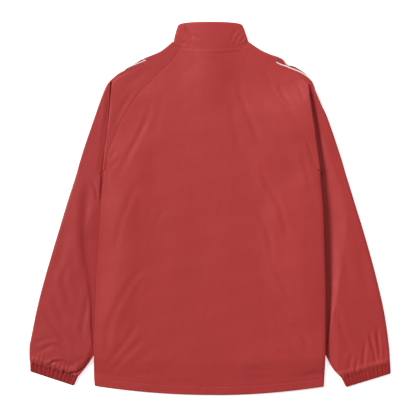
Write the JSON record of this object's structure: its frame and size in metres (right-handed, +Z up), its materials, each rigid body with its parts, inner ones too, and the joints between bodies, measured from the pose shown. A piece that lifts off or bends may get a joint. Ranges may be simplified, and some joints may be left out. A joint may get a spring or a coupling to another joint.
{
  "type": "insulated jacket",
  "caption": "Light insulated zip jacket with a stand collar, raglan sleeves, elastic cuffs and piped overarm seams, laid flat on its front with the back up.",
  "frame": {"origin": "on the surface that the jacket lies on, under the middle of its bounding box", "axes": "+Z up out of the jacket's back, +Y from the hem towards the collar, -X towards the wearer's left sleeve"},
  "size_m": [0.7602, 0.784, 0.0213],
  "materials": {
    "shell_red": "matt woven polyester",
    "cuff_red": "gathered elastic casing",
    "piping_white": "smooth covered cord",
    "tape_red": "ribbed zip tape",
    "chain_red": "moulded teeth",
    "slider_metal": "plated zinc"
  },
  "bodies": {
    "jacket": {"back_panel": "shell_red", "front_left": "shell_red", "front_right": "shell_red", "sleeve_back_left": "shell_red", "sleeve_back_right": "shell_red", "sleeve_front_left": "shell_red", "sleeve_front_right": "shell_red", "collar": "shell_red", "cuff_left": "cuff_red", "cuff_right": "cuff_red", "piping_left": "piping_white", "piping_right": "piping_white", "zip_tape_left": "tape_red", "zip_tape_right": "tape_red", "zip_chain": "chain_red", "zip_slider": "slider_metal"},
    "zip_pull": {"zip_pull": "slider_metal"}
  },
  "joints": [
    {"name": "pull_swing", "type": "hinge", "parent": "jacket", "child": "zip_pull", "pos_m": [0.00063, 0.30925, 0.0021], "axis": [1, 0, 0], "range_deg": [0, 165]}
  ]
}
